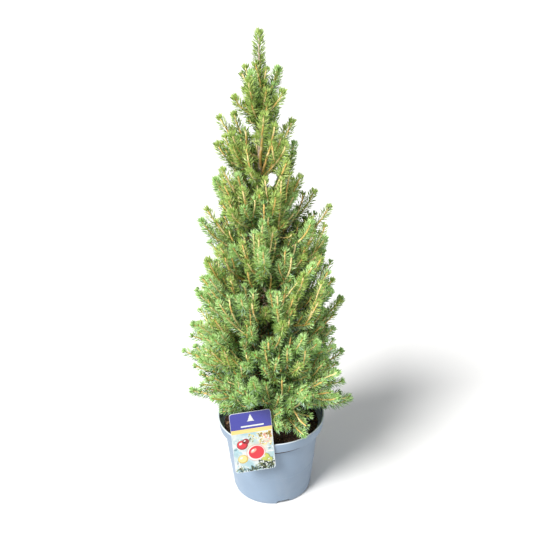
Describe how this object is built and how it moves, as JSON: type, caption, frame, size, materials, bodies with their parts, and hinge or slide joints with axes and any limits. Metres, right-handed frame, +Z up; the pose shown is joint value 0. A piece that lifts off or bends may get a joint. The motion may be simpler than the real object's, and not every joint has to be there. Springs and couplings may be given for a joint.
{
  "type": "potted dwarf spruce",
  "caption": "Young conical dwarf spruce with dense upright shoots, growing in a round plastic nursery pot with a hooked picture label.",
  "frame": {"origin": "centre of the pot's flat underside", "axes": "+Z up along the trunk, -Y to the front, where the label hangs, +X to the right of the front"},
  "size_m": [0.291, 0.2881, 0.801],
  "materials": {
    "pot_plastic": "satin",
    "potting_soil": "matte",
    "label_card": "gloss",
    "bark": "matte",
    "needles": "satin"
  },
  "bodies": {
    "root": {"pot": "pot_plastic", "soil": "potting_soil", "label": "label_card", "trunk": "bark", "bough_waist_1": "bark", "bough_waist_2": "bark", "bough_waist_3": "bark", "bough_waist_4": "bark", "bough_lower_1": "bark", "bough_lower_2": "bark", "bough_lower_3": "bark", "bough_lower_4": "bark", "bough_lower_5": "bark", "bough_broad_1": "bark", "bough_broad_2": "bark", "bough_broad_3": "bark", "bough_broad_4": "bark", "bough_broad_5": "bark", "bough_skirt_1": "bark", "bough_skirt_2": "bark", "bough_skirt_3": "bark", "bough_skirt_4": "bark", "bough_skirt_5": "bark", "foliage_leader": "needles", "foliage_crest_1": "needles", "foliage_crest_2": "needles", "foliage_crest_3": "needles", "foliage_shoulder_1": "needles", "foliage_shoulder_2": "needles", "foliage_shoulder_3": "needles", "foliage_upper_1": "needles", "foliage_upper_2": "needles", "foliage_upper_3": "needles", "foliage_upper_4": "needles", "foliage_middle_1": "needles", "foliage_middle_2": "needles", "foliage_middle_3": "needles", "foliage_middle_4": "needles", "foliage_waist_1": "needles", "foliage_waist_2": "needles", "foliage_waist_3": "needles", "foliage_waist_4": "needles", "foliage_lower_1": "needles", "foliage_lower_2": "needles", "foliage_lower_3": "needles", "foliage_lower_4": "needles", "foliage_lower_5": "needles", "foliage_broad_1": "needles", "foliage_broad_2": "needles", "foliage_broad_3": "needles", "foliage_broad_4": "needles", "foliage_broad_5": "needles", "foliage_skirt_1": "needles", "foliage_skirt_2": "needles", "foliage_skirt_3": "needles", "foliage_skirt_4": "needles", "foliage_skirt_5": "needles"}
  },
  "joints": []
}
